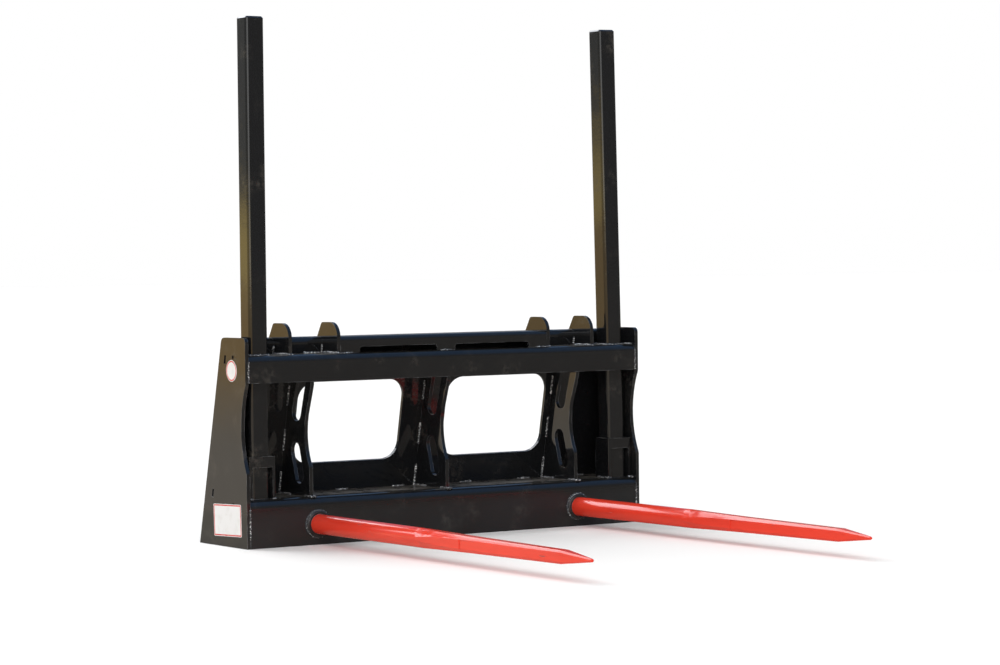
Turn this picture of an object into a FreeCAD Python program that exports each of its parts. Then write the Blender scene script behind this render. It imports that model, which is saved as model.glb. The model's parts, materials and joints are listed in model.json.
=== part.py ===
import FreeCAD, Part
import os

import Sketcher
from FreeCAD import Placement, Rotation, Vector

# Twin bale spear for a skid-steer loader, in millimetres.
#
# X runs across the frame, +Y towards the loader, +Z up.  The spears point to -Y.  The origin is on
# the ground in the middle of the footprint.  Inside each sub-part Y = 0 is the front plane of the
# frame, and the sub-part's Placement moves it back to where that plane stands.

DOC = FreeCAD.newDocument("bale_spear")
SHEET = DOC.addObject("Spreadsheet::Sheet", "dim")

SIZES = (
    # frame as a whole
    ("overall_width", 1168.0, "outer faces of the side plates"),
    ("side_height", 507.6, "ground to the top of a side plate"),
    ("side_wall", 9.5, "side plate thickness"),
    ("side_foot", 240.0, "depth of a side plate at the ground"),
    ("side_head", 117.0, "depth of a side plate at its top, before the corner is rounded"),
    ("side_front_round", 12.0, "front top corner of a side plate"),
    ("side_rear_round", 15.0, "rear top corner of a side plate"),
    ("scoop_high", 395.0, "top end of the scoop in the front edge"),
    ("scoop_low", 182.0, "bottom end of the scoop in the front edge"),
    ("scoop_depth", 24.0, "deepest point of the scoop"),
    ("scoop_round", 20.0, "where the scoop leaves the straight edge"),
    # laser-cut tabs
    ("tab_length", 20.0, "length of every locating tab"),
    ("tab_play", 0.6, "clearance round a tab in its slot"),
    ("tab_sink", 2.5, "depth of a tab's end below the outer face of the side plate"),
    ("beam_tab_y", 54.8, "middle of the tab on the upper beam"),
    ("web_tab_drop", 12.0, "middle of the web's tab, below the web's top edge"),
    ("plate_tab_low", 129.0, "middle of the rear plate's lower tab, along the plate"),
    ("plate_tab_high", 463.5, "middle of the rear plate's upper tab, along the plate"),
    # quick-attach plate at the rear
    ("plate_wall", 8.0, "rear plate thickness"),
    ("plate_tilt", 12.0, "lean of the rear plate, top forward, degrees"),
    ("plate_foot", 192.6, "where the rear plate's front face would meet the ground"),
    ("plate_crest", 505.0, "highest line of the bent top edge"),
    ("plate_bend", 8.0, "inner bend radius of the rear plate"),
    ("hook_angle", 45.0, "between the hook and the plate, degrees"),
    ("hook_flat", 16.0, "flat length of the hook beyond its bend"),
    ("ledge_rise", 5.0, "underside of the bottom ledge above the ground"),
    ("ledge_end", 234.0, "rear edge of the bottom ledge"),
    ("pin_slot_inset", 119.5, "middle of a lock-pin slot from the side plate"),
    ("pin_slot_y", 217.0, "middle of a lock-pin slot from the front plane"),
    ("pin_slot_length", 56.0, "lock-pin slot, along X"),
    ("pin_slot_width", 20.0, "lock-pin slot, along Y"),
    ("window_near", 65.6, "edge of a window beside the centre line"),
    ("window_margin", 22.7, "outer edge of a window from the middle of the outer gusset"),
    ("window_low", 192.0, "lower edge of the windows, along the plate"),
    ("window_high", 400.0, "upper edge of the windows, along the plate"),
    ("window_round", 45.0, "corner radius of the windows"),
    # cross beams
    ("upper_wall", 6.4, "upper beam thickness"),
    ("upper_low", 398.0, "lower edge of the upper beam"),
    ("upper_top", 464.0, "top flange of the upper beam"),
    ("upper_bend", 9.6, "inner bend radius of the upper beam"),
    ("lower_wall", 8.0, "lower beam and web thickness"),
    ("lower_top", 117.0, "top flange of the lower beam"),
    ("lower_bend", 12.0, "inner bend radius of the lower beam"),
    ("web_y", 62.7, "front face of the inner web"),
    ("web_low", 12.0, "lower edge of the inner web"),
    # upright gussets
    ("gusset_wall", 9.5, "gusset thickness"),
    ("gusset_inset", 180.0, "middle of an outer gusset from the side plate"),
    ("gusset_front", 18.0, "front edge of a gusset at its foot"),
    ("gusset_knee", 190.0, "height at which the front edge turns in"),
    ("gusset_waist_y", 39.5, "deepest point of the front edge"),
    ("gusset_waist_z", 278.0, "height of that point"),
    ("gusset_neck_y", 32.0, "where the curve runs out into the straight neck"),
    ("gusset_neck_z", 320.0, "height of that point"),
    ("gusset_shoulder", 390.0, "height at which the neck meets the beam"),
    ("gusset_round", 14.0, "corner inside the beam's bend"),
    ("slot_width", 42.0, "width of a gusset's lightening slots"),
    ("high_slot_y", 78.0, "lower end of the upper slot's centre line"),
    ("high_slot_z", 320.0, "height of that point"),
    ("high_slot_run", 90.0, "length of the upper slot's centre line"),
    ("high_slot_lean", 17.5, "lean of the upper slot, degrees forward"),
    ("low_slot_y", 68.0, "lower end of the lower slot's centre line"),
    ("low_slot_z", 167.0, "height of that point"),
    ("low_slot_run", 61.5, "length of the lower slot's centre line"),
    ("low_slot_lean", 16.0, "lean of the lower slot, degrees rearward"),
    # hook gussets, or ears, and the cover between them
    ("ear_wall", 9.5, "ear thickness"),
    ("ear_inner_inset", 262.5, "middle of an inner ear from the side plate"),
    ("ear_outer_inset", 125.5, "middle of an outer ear from the side plate"),
    ("ear_front", 17.0, "front edge of the ears and of the cover"),
    ("ear_top", 540.0, "top of the ears"),
    ("ear_crown", 92.0, "where the top edge would meet the sloping rear edge"),
    ("ear_heel", 3.5, "how far an ear runs down the hook"),
    ("ear_front_round", 36.0, "front top curve of an ear"),
    ("ear_rear_round", 12.0, "rear top corner of an ear"),
    ("cover_wall", 6.4, "top cover thickness"),
    ("cover_bend", 4.0, "inner bend radius of the cover"),
    ("notch_near", 27.0, "inner end of a long notch"),
    ("notch_margin", 60.0, "outer end of a long notch from the middle of the inner ear"),
    ("notch_height", 15.0, "height of the long notches"),
    ("notch_round", 7.0, "upper corners of the long notches"),
    # posts and the pockets that hold their feet
    ("left_gap", 10.0, "gap between the left pocket and its side plate"),
    ("right_gap", 1.8, "gap between the right pocket and its side plate"),
    ("post_width", 50.8, "square tube, 2 in"),
    ("post_wall", 4.8, "tube wall, 3/16 in"),
    ("post_round", 9.0, "outer corner radius of the tube"),
    ("post_top", 1282.0, "top of a post with its cap"),
    ("post_play", 1.5, "clearance round a post in the beam"),
    ("left_lean", 0.0, "inward lean of the left post, degrees"),
    ("right_lean", 1.0, "inward lean of the right post, degrees"),
    ("cap_height", 8.0, "post cap thickness"),
    ("cap_bevel", 4.0, "ground edge of a post cap"),
    ("sleeve_front", 20.5, "front face of a pocket"),
    ("sleeve_width", 72.0, "outer width of a pocket"),
    ("sleeve_depth", 57.0, "depth of a pocket, front to rear"),
    ("sleeve_wall", 8.0, "pocket plate thickness"),
    ("sleeve_round", 2.0, "rounding of the pocket's front corners"),
    ("sleeve_height", 103.0, "height of a pocket"),
    ("sleeve_band", 26.5, "closed band at the top of a pocket"),
    ("sleeve_play", 0.5, "gap between a pocket's front plate and its post"),
    # spears and their seats
    ("spear_inset", 187.5, "axis of a spear from the side plate"),
    ("spear_z", 51.0, "spear axis above the ground"),
    ("spear_reach", 1149.0, "spear tip in front of the frame"),
    ("spear_tail", 96.0, "threaded end behind the front plane"),
    ("spear_round", 48.5, "diameter where a spear leaves its seat"),
    ("spear_swage", 46.6, "diameter where the forged flats begin"),
    ("spear_neck", 36.4, "diameter across the edges where the point begins"),
    ("spear_nose", 8.0, "diameter where the point is blunted"),
    ("spear_end", 5.0, "diameter of its flat end"),
    ("blunt_length", 3.0, "length of the blunted end"),
    ("flat_start", 470.0, "distance of the first trace of the flats"),
    ("flat_full", 555.0, "distance at which the flats are full"),
    ("flat_middle", 690.0, "distance of the marked part of the shaft"),
    ("point_length", 104.0, "length of the point"),
    ("across_full", 41.2, "across the flats where they are full"),
    ("across_middle", 36.6, "across the flats at the marked part"),
    ("across_neck", 29.8, "across the flats where the point begins"),
    ("across_nose", 7.2, "across the flats at the tip"),
    ("stamp_length", 67.0, "sunk panel in the side of a spear"),
    ("stamp_height", 21.0, "height of that panel"),
    ("stamp_depth", 0.8, "depth of that panel"),
    ("seat_outer", 65.0, "outer diameter of a bushing"),
    ("seat_nose", 8.0, "bushing in front of the beam"),
    ("seat_end", 70.0, "rear face of a bushing"),
    ("seat_small", 34.0, "small end of the conical seat"),
    ("seat_play", 0.1, "radial clearance in the seat"),
    ("seat_hole_play", 0.25, "radial clearance round a bushing"),
    ("seat_bevel", 2.5, "bevel on the mouth of a bushing"),
    ("thread_round", 28.0, "thread diameter"),
    ("nut_across", 41.0, "nut, across the flats"),
    ("nut_height", 22.0, "nut thickness"),
    ("nut_bevel", 2.0, "bevel on the corners of the nut's free face"),
)


def fill_sheet():
    """One row per size: its name, its value as the aliased cell, and what it is."""
    for row, (alias, value, note) in enumerate(SIZES, start=1):
        SHEET.set(f"A{row}", alias)
        SHEET.set(f"B{row}", str(value))
        SHEET.setAlias(f"B{row}", alias)
        SHEET.set(f"C{row}", note)
    DOC.recompute()


# Lengths and angles that several sub-parts share, as expressions over the sheet.
FRONT_PLANE = "(dim.spear_reach - dim.side_foot) / 2"
INNER_X = "(dim.overall_width / 2 - dim.side_wall)"
GUSSET_X = f"({INNER_X} - dim.gusset_inset)"
WINDOW_FAR = f"({GUSSET_X} - dim.window_margin)"
EAR_X = {place: f"({INNER_X} - dim.ear_{place}_inset)" for place in ("inner", "outer")}
NOTCH_FAR = f"({EAR_X['inner']} - dim.notch_margin)"
POST_X = {side: f"({INNER_X} - dim.{side}_gap - dim.sleeve_width / 2)" for side in ("left", "right")}
SPEAR_X = f"({INNER_X} - dim.spear_inset)"
TILT = "(dim.plate_tilt * 1 deg)"
HOOK = "(dim.hook_angle * 1 deg)"
HOOK_NORMAL = f"({HOOK} + {TILT})"
CREST_RADIUS = "(dim.plate_wall + dim.plate_bend)"
CREST_Z = f"(dim.plate_crest - {CREST_RADIUS})"
CREST_Y = f"(dim.plate_foot - {CREST_Z} * tan({TILT}) + {CREST_RADIUS} / cos({TILT}))"
CREST_ALONG = f"(({CREST_Z} - {CREST_RADIUS} * sin({TILT})) / cos({TILT}))"
SEAT_HOLE = "(dim.seat_outer / 2 + dim.seat_hole_play)"
POST_Y = "(dim.sleeve_front + dim.sleeve_wall + dim.sleeve_play + dim.post_width / 2)"
POST_LENGTH = "(dim.post_top - dim.cap_height - dim.lower_top)"
SIDES = (("left", -1), ("right", 1))


def plate_front(height):
    """Distance of the rear plate's front face from the front plane, at a height."""
    return f"(dim.plate_foot - ({height}) * tan({TILT}))"


def value(expression):
    """Number that an expression over the sheet gives now."""
    return float(SHEET.evalExpression(str(expression)))


# The origin plane of each sketch, and the two body axes that the sketch's own axes run along.
PLANES = {"XY_Plane": (0, 1), "XZ_Plane": (0, 2), "YZ_Plane": (1, 2)}


def new_body(node, x="0", y=FRONT_PLANE, z="0", axis=None, angle="0"):
    """Body of one sub-part, placed in the part's frame and turned about one axis."""
    body = DOC.addObject("PartDesign::Body", node)
    body.Label = node
    if axis is not None:
        body.Placement = Placement(Vector(), Rotation(axis, 1.0))
        body.setExpression("Placement.Rotation.Angle", f"({angle}) * 1 deg")
    body.setExpression("Placement.Base.x", x)
    body.setExpression("Placement.Base.y", y)
    body.setExpression("Placement.Base.z", z)
    return body


def new_sketch(body, name, role, shift=("0", "0", "0"), turn="0", about=Vector(0, 0, 1)):
    """Sketch on an origin plane, shifted along its own axes and turned about one of them."""
    sketch = body.newObject("Sketcher::SketchObject", name)
    plane = next(item for item in body.Origin.OriginFeatures if item.Role == role)
    sketch.AttachmentSupport = [(plane, "")]
    sketch.MapMode = "FlatFace"
    if turn != "0":
        sketch.AttachmentOffset = Placement(Vector(), Rotation(about, 1.0))
        sketch.setExpression("AttachmentOffset.Rotation.Angle", f"({turn}) * 1 deg")
    for letter, length in zip("xyz", shift):
        sketch.setExpression(f"AttachmentOffset.Base.{letter}", length)
    return sketch


def pin_down(sketch, element, end, spot):
    """Fix one point of the sketch at (u, v) expressions measured from the sketch's origin."""
    for kind, length in zip(("DistanceX", "DistanceY"), spot):
        index = sketch.addConstraint(Sketcher.Constraint(kind, -1, 1, element, end, value(length)))
        sketch.setExpression(f"Constraints[{index}]", length)


def trace(sketch, corners, through=None):
    """Closed outline over the corners.  A stretch named in through is an arc by way of that point."""
    through = through or {}
    spots = [Vector(value(u), value(v), 0) for u, v in corners]
    elements = []
    for i, start in enumerate(spots):
        finish = spots[(i + 1) % len(spots)]
        if i in through:
            middle = Vector(value(through[i][0]), value(through[i][1]), 0)
            clockwise = (middle - start).cross(finish - middle).z < 0
            ends = (2, 1) if clockwise else (1, 2)
            arc = Part.Arc(finish, middle, start) if clockwise else Part.Arc(start, middle, finish)
            element = sketch.addGeometry(arc)
            mark = sketch.addGeometry(Part.Point(middle), True)
            sketch.addConstraint(Sketcher.Constraint("PointOnObject", mark, 1, element))
            pin_down(sketch, mark, 1, through[i])
        else:
            element = sketch.addGeometry(Part.LineSegment(start, finish))
            ends = (1, 2)
        elements.append((element, ends))
    for i, (element, ends) in enumerate(elements):
        after, after_ends = elements[(i + 1) % len(elements)]
        sketch.addConstraint(Sketcher.Constraint("Coincident", element, ends[1], after, after_ends[0]))
        pin_down(sketch, element, ends[0], corners[i])


def trace_box(sketch, low_u, low_v, high_u, high_v):
    """Rectangle with its sides along the sketch's axes."""
    trace(sketch, [(low_u, low_v), (high_u, low_v), (high_u, high_v), (low_u, high_v)])


def trace_circle(sketch, u, v, radius):
    element = sketch.addGeometry(Part.Circle(Vector(value(u), value(v), 0), Vector(0, 0, 1), value(radius)))
    pin_down(sketch, element, 3, (u, v))
    index = sketch.addConstraint(Sketcher.Constraint("Radius", element, value(radius)))
    sketch.setExpression(f"Constraints[{index}]", radius)


def trace_slot(sketch, u, v, run, width):
    """Round-ended slot whose centre line starts at (u, v) and runs along the sketch's u axis."""
    half = f"{width} / 2"
    far = f"{u} + {run}"
    low, high = f"{v} - {half}", f"{v} + {half}"
    ends = {1: (f"{far} + {half}", v), 3: (f"{u} - {half}", v)}
    trace(sketch, [(u, low), (far, low), (far, high), (u, high)], through=ends)


def pad(body, sketch, length, both_ways=True):
    feature = body.newObject("PartDesign::Pad", sketch.Name + "_pad")
    feature.Profile = sketch
    feature.SideType = "Symmetric" if both_ways else "One side"
    feature.setExpression("Length", length)
    DOC.recompute()
    return feature


def pocket(body, sketch, length=None, away=False):
    """Cut through everything both ways, or to a depth against the sketch's normal."""
    feature = body.newObject("PartDesign::Pocket", sketch.Name + "_cut")
    feature.Profile = sketch
    before = body.Shape.Volume
    if length is None:
        feature.Type = "ThroughAll"
        feature.SideType = "Symmetric"
    else:
        feature.Reversed = away
        feature.setExpression("Length", length)
    DOC.recompute()
    if not body.Shape.Volume < before:
        raise ValueError(f"{feature.Name} removes nothing")
    return feature


def round_edges(body, name, radius, spots, role="YZ_Plane"):
    """Fillet the edges that run square to a plane through the given (u, v) spots."""
    base = body.Tip
    first, second = PLANES[role]
    wanted = [(value(u), value(v)) for u, v in spots]
    names = []
    for number, edge in enumerate(base.Shape.Edges, start=1):
        ends = [vertex.Point for vertex in edge.Vertexes]
        if len(ends) != 2:
            continue
        for u, v in wanted:
            if all(abs(p[first] - u) < 1e-3 and abs(p[second] - v) < 1e-3 for p in ends):
                names.append(f"Edge{number}")
    fillet = body.newObject("PartDesign::Fillet", name)
    fillet.Base = (base, names)
    fillet.setExpression("Radius", radius)
    DOC.recompute()
    return fillet


def revolve(body, sketch):
    """Turn the outline round the sketch's horizontal axis."""
    feature = body.newObject("PartDesign::Revolution", sketch.Name + "_turned")
    feature.Profile = sketch
    feature.ReferenceAxis = (sketch, ["H_Axis"])
    feature.Angle = 360.0
    DOC.recompute()
    return feature


def side_plate(name, sign):
    """Laser-cut end plate: sloping rear edge, scooped front edge, slots for the tabs."""
    x = f"{sign} * (dim.overall_width - dim.side_wall) / 2"
    body = new_body(f"side_plate_{name}", x=x)
    outline = new_sketch(body, f"side_{name}_outline", "YZ_Plane")
    middle = "(dim.scoop_high + dim.scoop_low) / 2"
    trace(
        outline,
        [
            ("0", "0"),
            ("dim.side_foot", "0"),
            ("dim.side_head", "dim.side_height"),
            ("0", "dim.side_height"),
            ("0", "dim.scoop_high"),
            ("0", "dim.scoop_low"),
        ],
        through={4: ("dim.scoop_depth", middle)},
    )
    pad(body, outline, "dim.side_wall")

    level = new_sketch(body, f"side_{name}_level_slots", "YZ_Plane")
    half = "(dim.tab_length / 2 + dim.tab_play)"
    trace_box(
        level,
        f"dim.beam_tab_y - {half}",
        "dim.upper_top - dim.upper_wall - dim.tab_play",
        f"dim.beam_tab_y + {half}",
        "dim.upper_top + dim.tab_play",
    )
    web_tab = "(dim.lower_top - dim.lower_wall - dim.web_tab_drop)"
    trace_box(
        level,
        "dim.web_y - dim.tab_play",
        f"{web_tab} - {half}",
        "dim.web_y + dim.lower_wall + dim.tab_play",
        f"{web_tab} + {half}",
    )
    pocket(body, level)

    foot = ("dim.plate_foot", "0", "0")
    tilted = new_sketch(body, f"side_{name}_tilted_slots", "YZ_Plane", foot, "dim.plate_tilt")
    rear = "dim.plate_wall + dim.tab_play"
    for tab in ("dim.plate_tab_low", "dim.plate_tab_high"):
        trace_box(tilted, "-dim.tab_play", f"{tab} - {half}", rear, f"{tab} + {half}")
    pocket(body, tilted)

    front = [("0", "dim.side_height")]
    round_edges(body, f"side_{name}_front_corner", "dim.side_front_round", front)
    head = [("dim.side_head", "dim.side_height")]
    round_edges(body, f"side_{name}_rear_corner", "dim.side_rear_round", head)
    ends = [("0", "dim.scoop_high"), ("0", "dim.scoop_low")]
    round_edges(body, f"side_{name}_scoop_ends", "dim.scoop_round", ends)


def rear_plate():
    """Bent quick-attach plate: hook on top, ledge with pin slots below, two windows."""
    foot = f"{FRONT_PLANE} + dim.plate_foot"
    body = new_body("rear_plate", y=foot, axis=Vector(1, 0, 0), angle="dim.plate_tilt")
    section = new_sketch(body, "rear_plate_section", "YZ_Plane")
    wall = "dim.plate_wall"
    tangent = f"{CREST_RADIUS} / tan({HOOK} / 2)"
    tip = f"({tangent} + dim.hook_flat)"
    corner = f"({CREST_ALONG} + {tangent})"
    hook_inside = f"{corner} - {wall} * (sin({HOOK}) + (1 + cos({HOOK})) * cos({HOOK}) / sin({HOOK}))"
    reach = "(dim.ledge_end - dim.plate_foot)"
    ledge_top = f"(dim.ledge_rise + {wall})"
    ledge_inside = f"({ledge_top} - {wall} * sin({TILT})) / cos({TILT})"
    ledge_corner = f"dim.ledge_rise / cos({TILT})"
    ledge_ends = [
        (f"{reach} * cos({TILT}) + {rise} * sin({TILT})", f"{rise} * cos({TILT}) - {reach} * sin({TILT})")
        for rise in ("dim.ledge_rise", ledge_top)
    ]
    outer_tip = (f"{tip} * sin({HOOK})", f"{corner} - {tip} * cos({HOOK})")
    inner_tip = (f"{outer_tip[0]} - {wall} * cos({HOOK})", f"{outer_tip[1]} - {wall} * sin({HOOK})")
    corners = [
        ("0", ledge_corner),
        *ledge_ends,
        (wall, ledge_inside),
        (wall, hook_inside),
        inner_tip,
        outer_tip,
        ("0", corner),
    ]
    trace(section, corners)
    pad(body, section, f"2 * {INNER_X}")
    round_edges(body, "rear_plate_outer_bends", CREST_RADIUS, [corners[0], corners[7]])
    round_edges(body, "rear_plate_inner_bends", "dim.plate_bend", [corners[3], corners[4]])

    tabs = new_sketch(body, "rear_plate_tabs", "YZ_Plane")
    for tab in ("dim.plate_tab_low", "dim.plate_tab_high"):
        trace_box(tabs, "0", f"{tab} - dim.tab_length / 2", wall, f"{tab} + dim.tab_length / 2")
    pad(body, tabs, "dim.overall_width - 2 * dim.tab_sink")

    windows = new_sketch(body, "rear_plate_windows", "XZ_Plane")
    trace_box(windows, f"-{WINDOW_FAR}", "dim.window_low", "-dim.window_near", "dim.window_high")
    trace_box(windows, "dim.window_near", "dim.window_low", WINDOW_FAR, "dim.window_high")
    pocket(body, windows)
    spots = [
        (f"{sign} * {u}", v)
        for _, sign in SIDES
        for u in ("dim.window_near", WINDOW_FAR)
        for v in ("dim.window_low", "dim.window_high")
    ]
    round_edges(body, "rear_plate_window_corners", "dim.window_round", spots, "XZ_Plane")

    level = {"turn": "-dim.plate_tilt", "about": Vector(1, 0, 0)}
    slots = new_sketch(body, "rear_plate_pin_slots", "XY_Plane", **level)
    run = "(dim.pin_slot_length - dim.pin_slot_width)"
    for _, sign in SIDES:
        start = f"{sign} * ({INNER_X} - dim.pin_slot_inset) - {run} / 2"
        trace_slot(slots, start, "dim.pin_slot_y - dim.plate_foot", run, "dim.pin_slot_width")
    pocket(body, slots)


def upper_beam():
    """Bent angle across the top: front wall and top flange, notched for the posts."""
    body = new_body("upper_beam")
    section = new_sketch(body, "upper_beam_section", "YZ_Plane")
    rear = plate_front("dim.upper_top")
    inside = "dim.upper_top - dim.upper_wall"
    corners = [
        ("0", "dim.upper_low"),
        ("dim.upper_wall", "dim.upper_low"),
        ("dim.upper_wall", inside),
        (rear, inside),
        (rear, "dim.upper_top"),
        ("0", "dim.upper_top"),
    ]
    trace(section, corners)
    pad(body, section, f"2 * {INNER_X}")
    round_edges(body, "upper_beam_outer_bend", "dim.upper_bend + dim.upper_wall", [corners[5]])
    round_edges(body, "upper_beam_inner_bend", "dim.upper_bend", [corners[2]])

    tabs = new_sketch(body, "upper_beam_tabs", "YZ_Plane")
    half = "dim.tab_length / 2"
    trace_box(tabs, f"dim.beam_tab_y - {half}", inside, f"dim.beam_tab_y + {half}", "dim.upper_top")
    pad(body, tabs, "dim.overall_width - 2 * dim.tab_sink")

    holes = new_sketch(body, "upper_beam_post_holes", "XY_Plane", ("0", "0", "dim.upper_top"))
    spots = []
    reach = "(dim.post_width / 2 + dim.post_play)"
    for name, sign in SIDES:
        shift = f"tan(dim.{name}_lean * 1 deg) * (dim.upper_top - dim.lower_top)"
        centre = f"{sign} * ({POST_X[name]} - {shift})"
        low = (f"{centre} - {reach}", f"{POST_Y} - {reach}")
        high = (f"{centre} + {reach}", f"{POST_Y} + {reach}")
        trace_box(holes, *low, *high)
        spots += [(u, v) for u in (low[0], high[0]) for v in (low[1], high[1])]
    pocket(body, holes, "dim.upper_wall")
    round_edges(body, "upper_beam_hole_corners", "dim.post_round", spots, "XY_Plane")


def lower_beam():
    """Bent angle across the bottom, bored for the bushings of the spears."""
    body = new_body("lower_beam")
    section = new_sketch(body, "lower_beam_section", "YZ_Plane")
    rear = plate_front("dim.lower_top")
    inside = "dim.lower_top - dim.lower_wall"
    corners = [
        ("0", "0"),
        ("dim.lower_wall", "0"),
        ("dim.lower_wall", inside),
        (rear, inside),
        (rear, "dim.lower_top"),
        ("0", "dim.lower_top"),
    ]
    trace(section, corners)
    pad(body, section, f"2 * {INNER_X}")
    round_edges(body, "lower_beam_outer_bend", "dim.lower_bend + dim.lower_wall", [corners[5]])
    round_edges(body, "lower_beam_inner_bend", "dim.lower_bend", [corners[2]])
    bore_for_bushings(body)


def lower_web():
    """Flat plate inside the lower beam that carries the rear of the bushings."""
    body = new_body("lower_web")
    section = new_sketch(body, "lower_web_section", "YZ_Plane")
    top = "(dim.lower_top - dim.lower_wall)"
    rear = "dim.web_y + dim.lower_wall"
    trace_box(section, "dim.web_y", "dim.web_low", rear, top)
    pad(body, section, f"2 * {INNER_X}")
    tabs = new_sketch(body, "lower_web_tabs", "YZ_Plane")
    tab = f"({top} - dim.web_tab_drop)"
    trace_box(tabs, "dim.web_y", f"{tab} - dim.tab_length / 2", rear, f"{tab} + dim.tab_length / 2")
    pad(body, tabs, "dim.overall_width - 2 * dim.tab_sink")
    bore_for_bushings(body)


def bore_for_bushings(body):
    holes = new_sketch(body, f"{body.Name}_bores", "XZ_Plane")
    for _, sign in SIDES:
        trace_circle(holes, f"{sign} * {SPEAR_X}", "dim.spear_z", SEAT_HOLE)
    pocket(body, holes)


def gusset(name, sign):
    """Upright gusset between the beams and the rear plate, with two lightening slots."""
    body = new_body(f"gusset_{name}", x=f"{sign} * {GUSSET_X}")
    top = "(dim.upper_top - dim.upper_wall)"
    outline = new_sketch(body, f"gusset_{name}_outline", "YZ_Plane")
    corners = [
        ("dim.gusset_front", "dim.lower_top"),
        (plate_front("dim.lower_top"), "dim.lower_top"),
        (plate_front(top), top),
        ("dim.upper_wall", top),
        ("dim.upper_wall", "dim.gusset_shoulder"),
        ("dim.gusset_neck_y", "dim.gusset_neck_z"),
        ("dim.gusset_front", "dim.gusset_knee"),
    ]
    trace(outline, corners, through={5: ("dim.gusset_waist_y", "dim.gusset_waist_z")})
    pad(body, outline, "dim.gusset_wall")
    for slot, lean in (("high", "dim.high_slot_lean"), ("low", "-dim.low_slot_lean")):
        start = (f"dim.{slot}_slot_y", f"dim.{slot}_slot_z", "0")
        sketch = new_sketch(body, f"gusset_{name}_{slot}_slot", "YZ_Plane", start, f"90 + {lean}")
        trace_slot(sketch, "0", "0", f"dim.{slot}_slot_run", "dim.slot_width")
        pocket(body, sketch)
    round_edges(body, f"gusset_{name}_corner", "dim.gusset_round", [corners[3]])
    round_edges(body, f"gusset_{name}_knee", "dim.scoop_round", [corners[4], corners[6]])


def ear(name, x):
    """Gusset for the hook: stands on the upper beam and wraps over the bent top edge."""
    body = new_body(f"ear_{name}", x=x)
    outline = new_sketch(body, f"ear_{name}_outline", "YZ_Plane")
    along = (f"sin({HOOK_NORMAL})", f"cos({HOOK_NORMAL})")
    top_angle = f"((180 deg + {TILT} + {HOOK_NORMAL}) / 2)"
    leaves_hook = (
        f"{CREST_Y} + {CREST_RADIUS} * cos({HOOK_NORMAL})",
        f"{CREST_Z} + {CREST_RADIUS} * sin({HOOK_NORMAL})",
    )
    corners = [
        ("dim.ear_front", "dim.upper_top"),
        (plate_front("dim.upper_top"), "dim.upper_top"),
        (f"{CREST_Y} - {CREST_RADIUS} * cos({TILT})", f"{CREST_Z} - {CREST_RADIUS} * sin({TILT})"),
        leaves_hook,
        (f"{leaves_hook[0]} + dim.ear_heel * {along[0]}", f"{leaves_hook[1]} - dim.ear_heel * {along[1]}"),
        ("dim.ear_crown", "dim.ear_top"),
        ("dim.ear_front", "dim.ear_top"),
    ]
    over_bend = (
        f"{CREST_Y} + {CREST_RADIUS} * cos({top_angle})",
        f"{CREST_Z} + {CREST_RADIUS} * sin({top_angle})",
    )
    trace(outline, corners, through={2: over_bend})
    pad(body, outline, "dim.ear_wall")
    round_edges(body, f"ear_{name}_front_curve", "dim.ear_front_round", [corners[6]])
    round_edges(body, f"ear_{name}_rear_corner", "dim.ear_rear_round", [corners[5]])


def top_cover():
    """Bent cover between the inner ears, with two long notches above the beam."""
    body = new_body("top_cover")
    section = new_sketch(body, "top_cover_section", "YZ_Plane")
    wall = "dim.cover_wall"
    top = "dim.plate_crest"
    rear = f"{CREST_Y} - sqrt({CREST_RADIUS}^2 - ({CREST_RADIUS} - {wall})^2)"
    corners = [
        ("dim.ear_front", "dim.upper_top"),
        (f"dim.ear_front + {wall}", "dim.upper_top"),
        (f"dim.ear_front + {wall}", f"{top} - {wall}"),
        (rear, f"{top} - {wall}"),
        (rear, top),
        ("dim.ear_front", top),
    ]
    trace(section, corners)
    pad(body, section, f"2 * {EAR_X['inner']} - dim.ear_wall")
    round_edges(body, "top_cover_outer_bend", f"dim.cover_bend + {wall}", [corners[5]])
    round_edges(body, "top_cover_inner_bend", "dim.cover_bend", [corners[2]])
    notches = new_sketch(body, "top_cover_notches", "XZ_Plane")
    high = "dim.upper_top + dim.notch_height"
    trace_box(notches, f"-{NOTCH_FAR}", "dim.upper_top", "-dim.notch_near", high)
    trace_box(notches, "dim.notch_near", "dim.upper_top", NOTCH_FAR, high)
    pocket(body, notches)
    spots = [(f"{sign} * {u}", high) for _, sign in SIDES for u in ("dim.notch_near", NOTCH_FAR)]
    round_edges(body, "top_cover_notch_corners", "dim.notch_round", spots, "XZ_Plane")


def post_pocket(name, sign):
    """Sleeve welded to a U round the foot of a post, its front plate cut away below a band."""
    y = f"{FRONT_PLANE} + dim.sleeve_front"
    body = new_body(f"post_pocket_{name}", x=f"{sign} * {POST_X[name]}", y=y, z="dim.lower_top")
    section = new_sketch(body, f"pocket_{name}_section", "XY_Plane")
    outer = "dim.sleeve_width / 2"
    inner = "(dim.sleeve_width / 2 - dim.sleeve_wall)"
    corners = [
        (f"-{outer}", "0"),
        (outer, "0"),
        (outer, "dim.sleeve_depth"),
        (inner, "dim.sleeve_depth"),
        (inner, "dim.sleeve_wall"),
        (f"-{inner}", "dim.sleeve_wall"),
        (f"-{inner}", "dim.sleeve_depth"),
        (f"-{outer}", "dim.sleeve_depth"),
    ]
    trace(section, corners)
    pad(body, section, "dim.sleeve_height", both_ways=False)
    round_edges(body, f"pocket_{name}_front_corners", "dim.sleeve_round", corners[:2], "XY_Plane")
    window = new_sketch(body, f"pocket_{name}_window", "XZ_Plane")
    trace_box(window, f"-{inner}", "0", inner, "dim.sleeve_height - dim.sleeve_band")
    pocket(body, window)


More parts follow.
